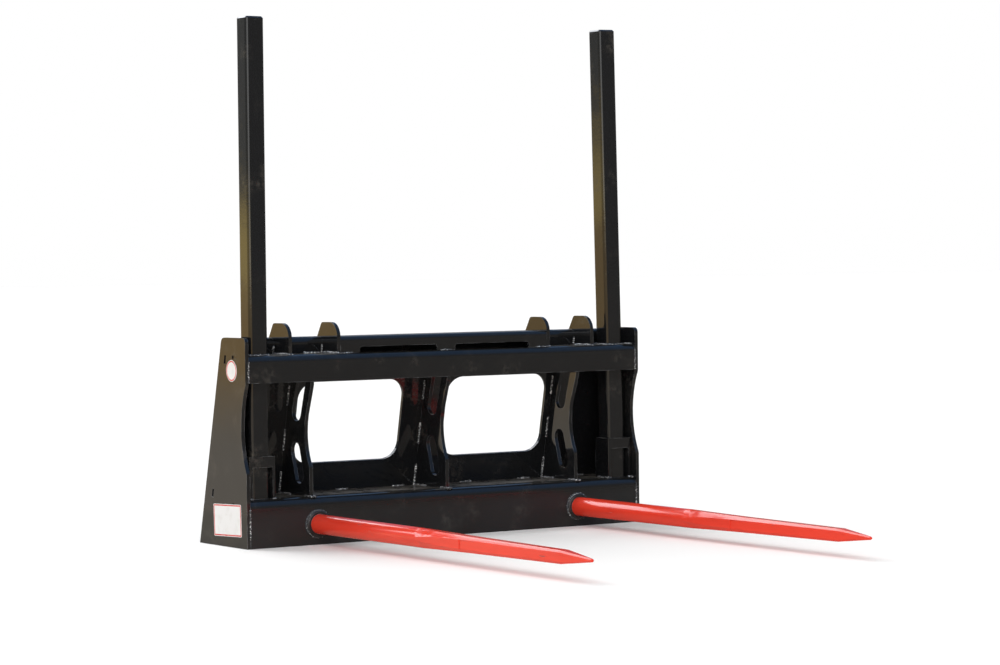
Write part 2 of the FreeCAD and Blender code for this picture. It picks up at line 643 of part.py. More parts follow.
def post_body(node, name, sign):
    """Body whose origin is the inner foot edge of a post, on which the post leans inward."""
    return new_body(
        node,
        x=f"{sign} * ({POST_X[name]} - dim.post_width / 2)",
        y=f"{FRONT_PLANE} + {POST_Y}",
        z="dim.lower_top",
        axis=Vector(0, 1, 0),
        angle=f"{-sign} * dim.{name}_lean",
    )


def post(name, sign):
    """Square tube that stands in its pocket and passes up through the upper beam."""
    body = post_body(f"post_{name}", name, sign)
    centre = f"{sign} * dim.post_width / 2"
    section = new_sketch(body, f"post_{name}_section", "XY_Plane", (centre, "0", "0"))
    half = "dim.post_width / 2"
    bore = "(dim.post_width / 2 - dim.post_wall)"
    trace_box(section, f"-{half}", f"-{half}", half, half)
    trace_box(section, f"-{bore}", f"-{bore}", bore, bore)
    pad(body, section, POST_LENGTH, both_ways=False)
    signs = [(a, b) for a in ("-", "+") for b in ("-", "")]
    outer = [(f"{centre} {a} {half}", f"{b}{half}") for a, b in signs]
    inner = [(f"{centre} {a} {bore}", f"{b}{bore}") for a, b in signs]
    round_edges(body, f"post_{name}_outer_corners", "dim.post_round", outer, "XY_Plane")
    round_edges(body, f"post_{name}_inner_corners", "dim.post_round - dim.post_wall", inner, "XY_Plane")


def post_cap(name, sign):
    """Plate that closes the top of a post, welded on and ground off along its edge."""
    body = post_body(f"post_cap_{name}", name, sign)
    centre = f"{sign} * dim.post_width / 2"
    section = new_sketch(body, f"cap_{name}_section", "XY_Plane", (centre, "0", POST_LENGTH))
    half = "dim.post_width / 2"
    trace_box(section, f"-{half}", f"-{half}", half, half)
    pad(body, section, "dim.cap_height", both_ways=False)
    corners = [(f"{centre} {a} {half}", f"{b}{half}") for a in ("-", "+") for b in ("-", "")]
    round_edges(body, f"cap_{name}_corners", "dim.post_round", corners, "XY_Plane")
    base = body.Tip
    top = value(f"{POST_LENGTH} + dim.cap_height")
    rim = [
        f"Edge{number}"
        for number, edge in enumerate(base.Shape.Edges, start=1)
        if all(abs(vertex.Z - top) < 1e-3 for vertex in edge.Vertexes)
    ]
    bevel = body.newObject("PartDesign::Chamfer", f"cap_{name}_bevel")
    bevel.Base = (base, rim)
    bevel.setExpression("Size", "dim.cap_bevel")
    DOC.recompute()


def mirror(body, features):
    """Repeat the features on the other side of the frame, as a second solid."""
    plane = next(item for item in body.Origin.OriginFeatures if item.Role == "YZ_Plane")
    twin = body.newObject("PartDesign::Mirrored", f"{body.Name}_pair")
    twin.Originals = features
    twin.MirrorPlane = (plane, [""])
    body.Tip = twin
    DOC.recompute()
    if len(body.Shape.Solids) != len(SIDES):
        raise ValueError(f"{body.Name} is not a pair")


def spear_bushings():
    """Pair of turned sleeves with a conical bore, welded through the lower beam and the web."""
    body = new_body("spear_bushings", z="dim.spear_z")
    section = new_sketch(body, "bushing_section", "YZ_Plane", ("0", "0", SPEAR_X))
    outer = "dim.seat_outer / 2"
    mouth = "dim.spear_round / 2 + dim.seat_play"
    trace(
        section,
        [
            ("-dim.seat_nose", mouth),
            ("dim.seat_end", "dim.seat_small / 2 + dim.seat_play"),
            ("dim.seat_end", outer),
            ("dim.seat_bevel - dim.seat_nose", outer),
            ("-dim.seat_nose", f"{outer} - dim.seat_bevel"),
        ],
    )
    mirror(body, [revolve(body, section)])


def spear(name, sign):
    """Forged spear: threaded tail, conical seat, round shaft that turns square towards the point."""
    body = new_body(f"spear_{name}", x=f"{sign} * {SPEAR_X}", z="dim.spear_z")
    section = new_sketch(body, f"spear_{name}_section", "YZ_Plane")
    neck = "(dim.spear_reach - dim.point_length)"
    trace(
        section,
        [
            ("-dim.spear_reach", "0"),
            ("dim.spear_tail", "0"),
            ("dim.spear_tail", "dim.thread_round / 2"),
            ("dim.seat_end", "dim.thread_round / 2"),
            ("dim.seat_end", "dim.seat_small / 2"),
            ("-dim.seat_nose", "dim.spear_round / 2"),
            ("-dim.flat_start", "dim.spear_swage / 2"),
            (f"-{neck}", "dim.spear_neck / 2"),
            ("dim.blunt_length - dim.spear_reach", "dim.spear_nose / 2"),
            ("-dim.spear_reach", "dim.spear_end / 2"),
        ],
    )
    revolve(body, section)
    for view, role in (("side", "YZ_Plane"), ("plan", "XY_Plane")):
        flats = new_sketch(body, f"spear_{name}_{view}_flats", role)
        for face in ("", "-"):
            trace_flat(flats, face, role)
        pocket(body, flats)

    floor = "-(dim.across_middle / 2 - dim.stamp_depth)"
    stamp = new_sketch(body, f"spear_{name}_stamp", "YZ_Plane", ("-dim.flat_middle", "0", floor))
    half_length = "dim.stamp_length / 2"
    half_height = "dim.stamp_height / 2"
    trace_box(stamp, f"-{half_length}", f"-{half_height}", half_length, half_height)
    pocket(body, stamp, "dim.spear_round")


def trace_flat(sketch, face, role):
    """What the forging presses away beyond one flat, drawn out past the round shaft."""
    clear = f"{face}dim.spear_round"
    beyond = "-(dim.spear_reach + dim.spear_nose)"
    shape = [
        ("-dim.flat_start", f"{face}dim.spear_swage / 2"),
        ("-dim.flat_full", f"{face}dim.across_full / 2"),
        ("-dim.flat_middle", f"{face}dim.across_middle / 2"),
        ("dim.point_length - dim.spear_reach", f"{face}dim.across_neck / 2"),
        ("-dim.spear_reach", f"{face}dim.across_nose / 2"),
        (beyond, f"{face}dim.across_nose / 2"),
        (beyond, clear),
        ("-dim.flat_start", clear),
    ]
    if role == "XY_Plane":
        shape = [(across, along) for along, across in shape]
    trace(sketch, shape)


def spear_nuts():
    """Pair of hexagon nuts that draw the spears into their seats."""
    body = new_body("spear_nuts", z="dim.spear_z")
    hexagon = new_sketch(body, "nut_hexagon", "XZ_Plane", ("0", "0", "-dim.seat_end"))
    corner = "dim.nut_across / 2 / cos(30 deg)"
    points = [(f"{corner} * cos({a} deg)", f"{corner} * sin({a} deg)") for a in range(0, 360, 60)]
    trace(hexagon, [(f"{SPEAR_X} + {u}", v) for u, v in points])
    block = pad(body, hexagon, "dim.nut_height", both_ways=False)
    block.Reversed = True
    DOC.recompute()
    bore = new_sketch(body, "nut_bore", "XZ_Plane")
    trace_circle(bore, SPEAR_X, "0", "dim.thread_round / 2")
    hole = pocket(body, bore)

    bevel = new_sketch(body, "nut_bevel", "YZ_Plane", ("0", "0", SPEAR_X))
    beyond = f"{corner} + dim.nut_bevel"
    face = "dim.seat_end + dim.nut_height"
    trace(bevel, [(face, "dim.nut_across / 2"), (face, beyond), (f"{face} - dim.nut_bevel", beyond)])
    groove = body.newObject("PartDesign::Groove", "nut_bevel_cut")
    groove.Profile = bevel
    groove.ReferenceAxis = (bevel, ["H_Axis"])
    groove.Angle = 360.0
    DOC.recompute()
    mirror(body, [block, hole, groove])


def build():
    fill_sheet()
    rear_plate()
    upper_beam()
    lower_beam()
    lower_web()
    top_cover()
    spear_bushings()
    spear_nuts()
    for name, sign in (("left", -1), ("middle", 0), ("right", 1)):
        gusset(name, sign)
    for name, sign in SIDES:
        side_plate(name, sign)
        for place in ("inner", "outer"):
            ear(f"{name}_{place}", f"{sign} * {EAR_X[place]}")
        post_pocket(name, sign)
        post(name, sign)
        post_cap(name, sign)
        spear(name, sign)
    DOC.recompute()


def export():
    """Check every object of the document, then write one file for each sub-part."""
    for item in DOC.Objects:
        if "Invalid" in item.State or "Error" in item.State:
            raise ValueError(f"{item.Label} failed: {item.State}")
    parts = [item for item in DOC.Objects if item.TypeId == "PartDesign::Body"]
    for item in parts:
        if item.Shape.isNull() or not item.Shape.isValid():
            raise ValueError(f"{item.Label} has no valid shape")
    os.makedirs("parts", exist_ok=True)
    for item in parts:
        item.Shape.exportStep(f"parts/{item.Label}.step")


build()
export()
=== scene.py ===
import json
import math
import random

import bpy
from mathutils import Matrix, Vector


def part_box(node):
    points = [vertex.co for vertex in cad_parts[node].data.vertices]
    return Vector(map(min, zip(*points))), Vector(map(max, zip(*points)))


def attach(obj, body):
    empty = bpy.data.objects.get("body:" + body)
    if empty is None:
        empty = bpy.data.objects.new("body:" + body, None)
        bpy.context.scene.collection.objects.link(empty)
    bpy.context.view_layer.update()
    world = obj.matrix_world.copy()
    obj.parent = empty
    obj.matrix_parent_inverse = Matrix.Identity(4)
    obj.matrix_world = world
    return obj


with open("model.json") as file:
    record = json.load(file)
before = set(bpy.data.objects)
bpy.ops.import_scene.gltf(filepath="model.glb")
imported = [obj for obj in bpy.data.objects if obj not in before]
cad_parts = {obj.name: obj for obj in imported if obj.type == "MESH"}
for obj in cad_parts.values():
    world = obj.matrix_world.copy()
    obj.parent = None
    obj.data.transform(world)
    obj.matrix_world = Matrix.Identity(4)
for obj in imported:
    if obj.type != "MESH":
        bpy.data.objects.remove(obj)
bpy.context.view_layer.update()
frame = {"nodes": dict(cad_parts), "record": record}

# %% [markdown]
# # A bale spear, from bare solids to painted steel
#
# The solids of this loader attachment are already in the scene: bent plates, square tubes and two forged
# spears. What is missing is everything that a welder and a paint shop leave behind. These cells add the
# weld beads and their spatter, the plain stickers and the paint, and then set up a small studio.
#
# All lengths are in metres. X runs across the frame, +Y points to the loader and +Z is up.

# %% [markdown]
# ## Where things are
#
# Most positions below are worked out from the solids themselves. A box gives the lowest and highest corner
# of one piece, so the front plane of the frame is the front of the lower beam, and the two shelves that
# carry most welds are the tops of the two beams.

# %% Planes and lines that the welds follow
PLATE_TILT = math.radians(12)
POST_LEAN = {"left": 0.0, "right": math.radians(1)}
BEND_RADIUS = 0.016
SIDES = (("left", -1), ("right", 1))

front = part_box("lower_beam")[0].y
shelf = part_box("lower_beam")[1].z
beam_low, beam_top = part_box("upper_beam")[0].z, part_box("upper_beam")[1].z
inner_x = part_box("side_plate_right")[0].x
outer_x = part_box("side_plate_right")[1].x
gusset_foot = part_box("gusset_middle")[1].y
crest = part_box("rear_plate")[1].z - BEND_RADIUS


def plate_y(height):
    """Front face of the leaning rear plate at a height."""
    return gusset_foot - (height - shelf) * math.tan(PLATE_TILT)


crest_y = plate_y(crest) + BEND_RADIUS / math.cos(PLATE_TILT)
print(f"front plane {front:.4f}, shelf {shelf:.4f}, beam {beam_low:.4f} to {beam_top:.4f}")

# %% [markdown]
# ## The camera
#
# A long lens from far away keeps the upright posts parallel. The camera stands in front and to the left,
# a little above the spears, and looks almost level. Its axes are built from three angles: yaw from +Y
# towards +X, pitch above the horizon and a slight roll.

# %% Camera
CAMERA_PLACE = Vector((-4.1105, -5.9104, 0.7037))
CAMERA_YAW, CAMERA_PITCH, CAMERA_ROLL = (math.radians(a) for a in (33.803, -1.403, -0.624))
LENS, SENSOR = 109.06, 36.0
SHIFT = (0.0003, -0.0047)

ahead = Vector((
    math.sin(CAMERA_YAW) * math.cos(CAMERA_PITCH),
    math.cos(CAMERA_YAW) * math.cos(CAMERA_PITCH),
    math.sin(CAMERA_PITCH),
))
level_right = Vector((math.cos(CAMERA_YAW), -math.sin(CAMERA_YAW), 0))
level_up = level_right.cross(ahead)
right = level_right * math.cos(CAMERA_ROLL) + level_up * math.sin(CAMERA_ROLL)
up = level_up * math.cos(CAMERA_ROLL) - level_right * math.sin(CAMERA_ROLL)

lens = bpy.data.cameras.new("camera")
lens.lens, lens.sensor_width = LENS, SENSOR
lens.shift_x, lens.shift_y = SHIFT
camera = bpy.data.objects.new("camera", lens)
bpy.context.scene.collection.objects.link(camera)
axes = Matrix((right, up, -ahead)).transposed()
camera.matrix_world = Matrix.Translation(CAMERA_PLACE) @ axes.to_4x4()
bpy.context.scene.camera = camera
print("camera looks along", [round(v, 3) for v in ahead])

# %% [markdown]
# ## Writing nodes as sums
#
# A node tree soon becomes a web. Wrapping a socket in a small class lets Python's own operators add the
# Math nodes, so a mask reads like the formula that it is. Every other node comes from the one method
# `node`, which sets the node's options first and its sockets after. The class works in material trees and
# in Geometry Nodes alike, because both have the same Math node.

# %% Socket: one class for shader and geometry maths
COLOUR_A, COLOUR_B, COLOUR_RESULT = 6, 7, 2


class Socket:
    """An output socket of a node tree. Operators add Math nodes."""

    def __init__(self, tree, source=None):
        self.tree = tree
        self.source = source

    def node(self, kind, settings=None, inputs=None, output=0):
        """Add a node, set its options, then fill or link its inputs. Gives one of its outputs."""
        node = self.tree.nodes.new(kind)
        for name, setting in (settings or {}).items():
            if name == "stops":
                self.set_stops(node.color_ramp, setting)
            else:
                setattr(node, name, setting)
        for name, entry in (inputs or {}).items():
            if isinstance(entry, Socket):
                self.tree.links.new(entry.source, node.inputs[name])
            else:
                node.inputs[name].default_value = entry
        return Socket(self.tree, node.outputs[output])

    @staticmethod
    def set_stops(ramp, stops):
        for place, _ in stops[1:-1]:
            ramp.elements.new(place)
        ramp.elements[0].position = stops[0][0]
        ramp.elements[-1].position = stops[-1][0]
        for element, (_, colour) in zip(ramp.elements, stops):
            element.color = colour

    def sum(self, operation, first, second=0.0):
        return self.node("ShaderNodeMath", {"operation": operation}, {0: first, 1: second})

    def __add__(self, other):
        return self.sum("ADD", self, other)

    __radd__ = __add__

    def __mul__(self, other):
        return self.sum("MULTIPLY", self, other)

    __rmul__ = __mul__

    def __sub__(self, other):
        return self.sum("SUBTRACT", self, other)

    def __rsub__(self, other):
        return self.sum("SUBTRACT", other, self)

    def capped(self, most=1.0):
        return self.sum("MINIMUM", self, most)

    def rise(self, low, high):
        """0 below low, 1 above high, and a soft S between them."""
        settings = {"interpolation_type": "SMOOTHSTEP"}
        inputs = {"Value": self, "From Min": low, "From Max": high}
        return self.node("ShaderNodeMapRange", settings, inputs)

    def choose(self, without, covered):
        """Colour `without` where this mask is 0 and `covered` where it is 1."""
        inputs = {"Factor": self, COLOUR_A: without, COLOUR_B: covered}
        return self.node("ShaderNodeMix", {"data_type": "RGBA"}, inputs, COLOUR_RESULT)


print("operators ready")

# %% [markdown]
# ## Black enamel
#
# The frame is sprayed with glossy black enamel straight over mill scale. A deep gloss shows three things
# that a flat black lacks: the orange peel of a thick coat, a soft film of dust that settles in patches, and
# rubbed places where the gloss has gone matt. The bump comes from noise at two scales, a peel of a few
# millimetres and the slow waves of rolled plate. One function makes the black enamel; the welds have a
# finish of their own.

# %% Black enamel
BLACK = (0.0075, 0.0078, 0.0085, 1)
DUST = (0.12, 0.105, 0.088, 1)
# The pale grey on sharp edges is worn paint and also a painted edge highlight.
EDGE_HIGHLIGHT_GREY, EDGE_WIDTH = (0.42, 0.43, 0.45, 1), 0.0014
PEEL_SIZE, PLATE_WAVE_SIZE = 0.006, 0.14


def new_material(name):
    """An empty material: its shader, and a Socket with the object's own coordinates."""
    material = bpy.data.materials.new(name)
    material.use_nodes = True
    shader = material.node_tree.nodes["Principled BSDF"]
    place = Socket(material.node_tree).node("ShaderNodeTexCoord", output=3)
    return material, shader, place


def noise(place, size, detail=2.0, offset=(0, 0, 0)):
    """Soft noise from 0 to 1 whose blotches are about `size` metres across."""
    moved = place.node("ShaderNodeVectorMath", {"operation": "ADD"}, {0: place, 1: offset})
    return place.node("ShaderNodeTexNoise", None, {"Vector": moved, "Scale": 1 / size, "Detail": detail})


def plug(shader, name, socket):
    """Link a worked-out value to one of the shader's sockets."""
    socket.tree.links.new(socket.source, shader.inputs[name])


def bump(place, layers):
    """A normal from (height, depth in metres) pairs, laid one over the other."""
    normal = None
    for height, depth in layers:
        inputs = {"Height": height, "Distance": depth, "Strength": 1.0}
        if normal is not None:
            inputs["Normal"] = normal
        normal = place.node("ShaderNodeBump", None, inputs)
    return normal


def parts_of(vector):
    """The x, y and z of a vector."""
    return [vector.node("ShaderNodeSeparateXYZ", None, {0: vector}, i) for i in range(3)]


def settled_dust_and_sheen(place):
    """Dust on level faces, much lighter near the foot of the rear plate, and a low film of dust and painted
    ground reflection.
    """
    facing_up = parts_of(place.node("ShaderNodeNewGeometry", output=1))[2].rise(0.75, 0.99)
    _, y, z = parts_of(place)
    near_plate = y.rise(front + 0.015, front + 0.06)
    cloud = 0.45 + 0.55 * noise(place, 0.03, 6, (2, 9, 4)).rise(0.3, 0.65)
    # The low film makes the lowest parts lighter and duller: partly dust, partly a painted reflection of the near
    # ground.
    low_film_and_ground_sheen = (1 - z.rise(0.07, shelf - 0.005)) * (0.6 + 0.4 * noise(place, 0.2, 4, (6, 3, 3)).rise(0.2, 0.65))
    return facing_up * (0.12 + 0.78 * near_plate) * cloud, low_film_and_ground_sheen


def worn_and_highlit_edges(place):
    """A mask of sharp edges, where paint wears thin and a highlight is painted: a bevelled normal turns there."""
    true = place.node("ShaderNodeNewGeometry", output=1)
    eased = place.node("ShaderNodeBevel", {"samples": 4}, {"Radius": EDGE_WIDTH})
    alike = place.node("ShaderNodeVectorMath", {"operation": "DOT_PRODUCT"}, {0: true, 1: eased}, 1)
    patchy = noise(place, 0.05, 4, (5, 5, 2)).rise(0.42, 0.62)
    return (1 - alike).rise(0.03, 0.2) * patchy


def enamel(name, colour, dust_cover=0.35, gloss=0.07, peel=0.00003, wave=0.0005, dust_colour=DUST):
    """Sprayed enamel: peel and waves in the gloss, dust, edges worn and painted as highlights, and a low film of
    dust and painted ground reflection.
    """
    material, shader, place = new_material(name)
    dust = noise(place, 0.09, 6).rise(0.5, 0.78) * noise(place, 0.012, 4, (3, 1, 2)).rise(0.35, 0.7)
    settled, low_film_and_ground_sheen = settled_dust_and_sheen(place)
    cover = (dust * dust_cover + settled + 0.07 * low_film_and_ground_sheen).capped()
    rubbed = noise(place, 0.05, 8, (7, 2, 5)).rise(0.56, 0.8)
    edge_wear_highlight = worn_and_highlit_edges(place)
    # Sharp edges go pale grey and half metallic: worn paint and a painted highlight. The low film lifts the
    # colour: partly dust, partly a painted reflection of the near ground.
    plug(shader, "Base Color", edge_wear_highlight.choose(cover.choose(colour, dust_colour), EDGE_HIGHLIGHT_GREY))
    plug(shader, "Roughness", gloss + 0.4 * cover + 0.08 * rubbed + 0.42 * low_film_and_ground_sheen + 0.15 * edge_wear_highlight)
    plug(shader, "Metallic", 0.7 * edge_wear_highlight)
    peel_height = noise(place, PEEL_SIZE, 1, (4, 4, 1))
    wave_height = noise(place, PLATE_WAVE_SIZE, 1, (1, 5, 9))
    plug(shader, "Normal", bump(place, [(wave_height, wave), (peel_height, peel)]))
    shader.inputs["IOR"].default_value = 1.5
    return material


black_paint = enamel("black enamel", BLACK)
print("made", black_paint.name)

# %% [markdown]
# ## Red enamel and zinc
#
# The spears carry an orange-red safety enamel, thinner than the black, with scuffs where they slide along
# each other on a rack. The nuts that hold their tails stay unpainted: yellow-white zinc with a dull bloom.

# %% Red enamel and zinc
RED = (0.84, 0.052, 0.026, 1)
RED_DARK = (0.62, 0.028, 0.016, 1)
ZINC, ZINC_BLOOM = (0.62, 0.61, 0.56, 1), (0.36, 0.35, 0.31, 1)


def red_enamel():
    material, shader, place = new_material("red enamel")
    streak = place.node("ShaderNodeVectorMath", {"operation": "MULTIPLY"}, {0: place, 1: (1, 0.12, 1)})
    shade = noise(streak, 0.03, 5).rise(0.42, 0.75)
    scuff = noise(streak, 0.006, 3, (2, 6, 1)).rise(0.66, 0.74) * noise(place, 0.12, 2, (8, 8, 1)).rise(0.5, 0.62)
    colour = (0.45 * shade).choose(RED, RED_DARK)
    plug(shader, "Base Color", (0.6 * scuff).choose(colour, (0.20, 0.05, 0.035, 1)))
    plug(shader, "Roughness", 0.16 + 0.12 * shade + 0.3 * scuff)
    peel_height = noise(place, 0.005, 1)
    forged = noise(streak, 0.05, 2, (5, 1, 3))
    plug(shader, "Normal", bump(place, [(forged, 0.0006), (peel_height, 0.00004), (scuff, -0.00003)]))
    shader.inputs["IOR"].default_value = 1.5
    return material


def zinc_plate():
    material, shader, place = new_material("zinc plate")
    bloom = noise(place, 0.008, 5).rise(0.4, 0.7)
    plug(shader, "Base Color", bloom.choose(ZINC, ZINC_BLOOM))
    plug(shader, "Roughness", 0.28 + 0.3 * bloom)
    plug(shader, "Normal", bump(place, [(noise(place, 0.002, 2), 0.00004)]))
    shader.inputs["Metallic"].default_value = 1.0
    return material


finishes = {"black_paint": black_paint, "red_paint": red_enamel(), "zinc": zinc_plate()}
for name, finish in finishes.items():
    print(name, "is", finish.name)

# %% Paint the solids
slot_of = {part["node"]: part["material_slot"] for part in frame["record"]["subparts"]}
for name, solid in frame["nodes"].items():
    for material_slot in solid.material_slots:
        material_slot.material = finishes[slot_of[name]]
print(len(frame["nodes"]), "solids painted")

# %% [markdown]
# ## Weld beads
#
# A welder lays metal in small overlapping pools, so a bead is a row of shingled ripples and not a smooth
# rod. It could be a bevelled curve with a bump, but then its edge would stay straight. Geometry Nodes can
# copy one small lens along every seam instead. The source is a mesh of bare edges: each chain of edges is
# one stitch, and a number on its points, `bead`, is the size of the bead there. The ripples turn to follow
# the seam, and each differs a little in size and tilt.

# %% A tree that lays ripples along edges
def new_tree(name, numbers):
    """A Geometry Nodes tree with a mesh input and named numbers; gives the tree and Sockets for them."""
    tree = bpy.data.node_groups.new(name, "GeometryNodeTree")
    tree.interface.new_socket("Geometry", in_out="INPUT", socket_type="NodeSocketGeometry")
    for title, default in numbers.items():
        kind = "NodeSocketInt" if isinstance(default, int) else "NodeSocketFloat"
        tree.interface.new_socket(title, in_out="INPUT", socket_type=kind).default_value = default
    tree.interface.new_socket("Geometry", in_out="OUTPUT", socket_type="NodeSocketGeometry")
    entry = tree.nodes.new("NodeGroupInput")
    given = [Socket(tree, entry.outputs[i]) for i in range(len(numbers) + 1)]
    return tree, given


def end_tree(instances, material):
    """Make the copies real, shade them smooth, give them their finish and join the output."""
    real = instances.node("GeometryNodeRealizeInstances", None, {0: instances})
    smooth = real.node("GeometryNodeSetShadeSmooth", None, {0: real})
    finished = smooth.node("GeometryNodeSetMaterial", None, {0: smooth, "Material": material})
    out = finished.tree.nodes.new("NodeGroupOutput")
    finished.tree.links.new(finished.source, out.inputs[0])


def bead_tree(material):
    numbers = {"Ripple spacing": 0.0024, "Ripple tilt": 0.35, "Unevenness": 0.22, "Seed": 4}
    tree, (seams, spacing, tilt, unevenness, seed) = new_tree("weld bead", numbers)
    curve = seams.node("GeometryNodeMeshToCurve", None, {0: seams})
    along = {"Curve": curve, "Length": spacing}
    points = curve.node("GeometryNodeCurveToPoints", {"mode": "LENGTH"}, along)
    turned = Socket(tree, points.source.node.outputs["Rotation"])
    ripple = seams.node("GeometryNodeMeshUVSphere", None, {"Segments": 8, "Rings": 5, "Radius": 1.0})
    bead = seams.node("GeometryNodeInputNamedAttribute", {"data_type": "FLOAT"}, {"Name": "bead"})
    vary = seams.node("FunctionNodeRandomValue", {"data_type": "FLOAT"},
                      {2: 1 - unevenness, 3: 1 + unevenness, "Seed": seed}, 1)
    wide = bead * vary
    size = wide.node("ShaderNodeCombineXYZ", None, {0: wide, 1: wide, 2: spacing * 1.15})
    nod = seams.node("FunctionNodeRandomValue", {"data_type": "FLOAT"},
                     {2: 0 - tilt, 3: tilt, "Seed": seed + 1}, 1)
    angles = nod.node("ShaderNodeCombineXYZ", None, {0: nod, 1: nod * 0.6})
    twist = angles.node("FunctionNodeEulerToRotation", None, {0: angles})
    rotation = twist.node("FunctionNodeRotateRotation", {"rotation_space": "LOCAL"}, {0: turned, 1: twist})
    copies = points.node("GeometryNodeInstanceOnPoints", None,
                         {"Points": points, "Instance": ripple, "Rotation": rotation, "Scale": size})
    end_tree(copies, material)
    return tree


def grow(name, tree, source, **numbers):
    """Run a tree on a source mesh and keep the result as a plain piece of the object."""
    seedling = bpy.data.objects.new("seedling", source)
    bpy.context.scene.collection.objects.link(seedling)
    modifier = seedling.modifiers.new("growth", "NODES")
    modifier.node_group = tree
    for item in tree.interface.items_tree:
        if item.in_out == "INPUT" and item.name in numbers:
            modifier[item.identifier] = numbers[item.name]
    evaluated = seedling.evaluated_get(bpy.context.evaluated_depsgraph_get())
    mesh = bpy.data.meshes.new_from_object(evaluated)
    bpy.data.objects.remove(seedling)
    return add_piece(name, mesh)


def add_piece(name, mesh):
    mesh.name = name
    piece = bpy.data.objects.new(name, mesh)
    bpy.context.scene.collection.objects.link(piece)
    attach(piece, "root")
    mesh.calc_loop_triangles()
    print(f"{name}: {len(mesh.loop_triangles)} triangles")
    return piece


# The pale crest colour is bare weld metal and also a painted glint.
WELD_GLINT_BRIGHT, SLAG_GREY = (0.78, 0.77, 0.74, 1), (0.05, 0.05, 0.052, 1)


def weld_finish(name, bare_glint_share):
    """Thin paint over welds: dark in the valleys, pale bare metal on the crests in specks a ripple long, also a
    painted glint.
    """
    material, shader, place = new_material(name)
    specks = noise(place, 0.0035, 2, (1, 8, 3)).rise(0.62 - bare_glint_share, 0.72 - bare_glint_share)
    runs = noise(place, 0.03, 3, (9, 2, 6)).rise(0.3, 0.6)
    bare_glints = specks * (0.35 + 0.65 * runs)
    plug(shader, "Base Color", bare_glints.choose(SLAG_GREY, WELD_GLINT_BRIGHT))
    plug(shader, "Metallic", 0.75 * bare_glints)
    plug(shader, "Roughness", 0.12 + 0.22 * specks)
    plug(shader, "Normal", bump(place, [(noise(place, 0.0016, 2), 0.00025)]))
    shader.inputs["IOR"].default_value = 1.5
    return material


weld_paint = weld_finish("paint over welds", bare_glint_share=0.09)
ring_paint = weld_finish("paint over ring welds", bare_glint_share=0.02)
bead = bead_tree(weld_paint)

# %% [markdown]
# ## Where the frame is welded
#
# Nobody welds such a frame all the way round. Long seams get stitches of 30 to 60 mm, short ones a single
# pass, and the tubes are welded round. Each seam below is a run from one point to another. A run that has
# an `x` on the right is mirrored to the left, because the frame was welded alike on both sides.

# %% Seams
FILLET, STITCH_FILLET, TACK = 0.0042, 0.0036, 0.0028


class Seams:
    """Collects runs of weld as chains of edges, with the size of the bead on each point."""

    def __init__(self):
        self.points, self.edges, self.sizes = [], [], []

    def run(self, *points, size=FILLET, mirror=False, closed=False):
        first = len(self.points)
        self.points += [tuple(p) for p in points]
        self.sizes += [size] * len(points)
        self.edges += [(first + i, first + i + 1) for i in range(len(points) - 1)]
        if closed:
            self.edges.append((first + len(points) - 1, first))
        if mirror:
            self.run(*[(-x, y, z) for x, y, z in points], size=size, closed=closed)

    def stitches(self, start, end, length, spots, **how):
        """Short runs centred at shares of the way from start to end."""
        start, end = Vector(start), Vector(end)
        step = (end - start).normalized() * (length / 2)
        for share in spots:
            middle = start.lerp(end, share)
            self.run(middle - step, middle + step, **how)

    def mesh(self):
        mesh = bpy.data.meshes.new("seams")
        mesh.from_pydata(self.points, self.edges, [])
        sizes = mesh.attributes.new("bead", "FLOAT", "POINT")
        sizes.data.foreach_set("value", self.sizes)
        return mesh


def on_plate(x, height, out=0.0):
    """A point on the front face of the rear plate."""
    return (x, plate_y(height) - out, height)


# %% Gussets
seams = Seams()
beam_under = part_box("gusset_middle")[1].z
for name in ("gusset_left", "gusset_middle", "gusset_right"):
    low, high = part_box(name)
    for x in (low.x, high.x):
        seams.run(on_plate(x, shelf + 0.001), on_plate(x, shelf + 0.052))
        seams.run(on_plate(x, shelf + 0.108), on_plate(x, shelf + 0.158), size=STITCH_FILLET)
        seams.run(on_plate(x, beam_low - 0.06), on_plate(x, beam_low - 0.015), size=STITCH_FILLET)
        seams.run((x, gusset_foot, shelf), (x, gusset_foot - 0.055, shelf))
        seams.run((x, low.y + 0.004, shelf), (x, low.y + 0.034, shelf), size=STITCH_FILLET)
        seams.run((x, plate_y(beam_under), beam_under), (x, plate_y(beam_under) - 0.04, beam_under))
    seams.run((low.x, low.y, shelf), (high.x, low.y, shelf), size=TACK)
grow("weld_beads_gussets", bead, seams.mesh(), Seed=4)

# %% Beams, rear plate and side plates
seams = Seams()
SHELF_STITCHES = (0.065, 0.309, 0.454, 0.632, 0.789, 0.94)
seams.stitches((-inner_x, gusset_foot, shelf), (inner_x, gusset_foot, shelf), 0.032, SHELF_STITCHES,
               size=STITCH_FILLET)
beam_back = plate_y(beam_top)
seams.stitches((-inner_x, beam_back, beam_top), (inner_x, beam_back, beam_top), 0.045, (0.04, 0.2, 0.8, 0.96))
for low, high in ((shelf + 0.01, shelf + 0.07), (0.27, 0.33), (beam_top + 0.004, crest - 0.004)):
    seams.run(on_plate(inner_x, low), on_plate(inner_x, high), mirror=True)
for low, high in ((beam_low + 0.003, beam_top - BEND_RADIUS), (0.024, shelf - 0.024)):
    seams.run((inner_x, front + 0.0006, low), (inner_x, front + 0.0006, high), size=TACK, mirror=True)
for height, depth in ((beam_top, 0.03), (shelf, 0.036)):
    seams.run((inner_x, front + BEND_RADIUS, height), (inner_x, front + BEND_RADIUS + depth, height),
              size=STITCH_FILLET, mirror=True)
rear_y = plate_y(0) + 0.008 / math.cos(PLATE_TILT)
for low, high in ((0.03, 0.09), (0.2, 0.26), (0.38, 0.44)):
    near, far = (rear_y - z * math.tan(PLATE_TILT) for z in (low, high))
    seams.run((inner_x, near, low), (inner_x, far, high), mirror=True)
grow("weld_beads_plates", bead, seams.mesh(), Seed=11)

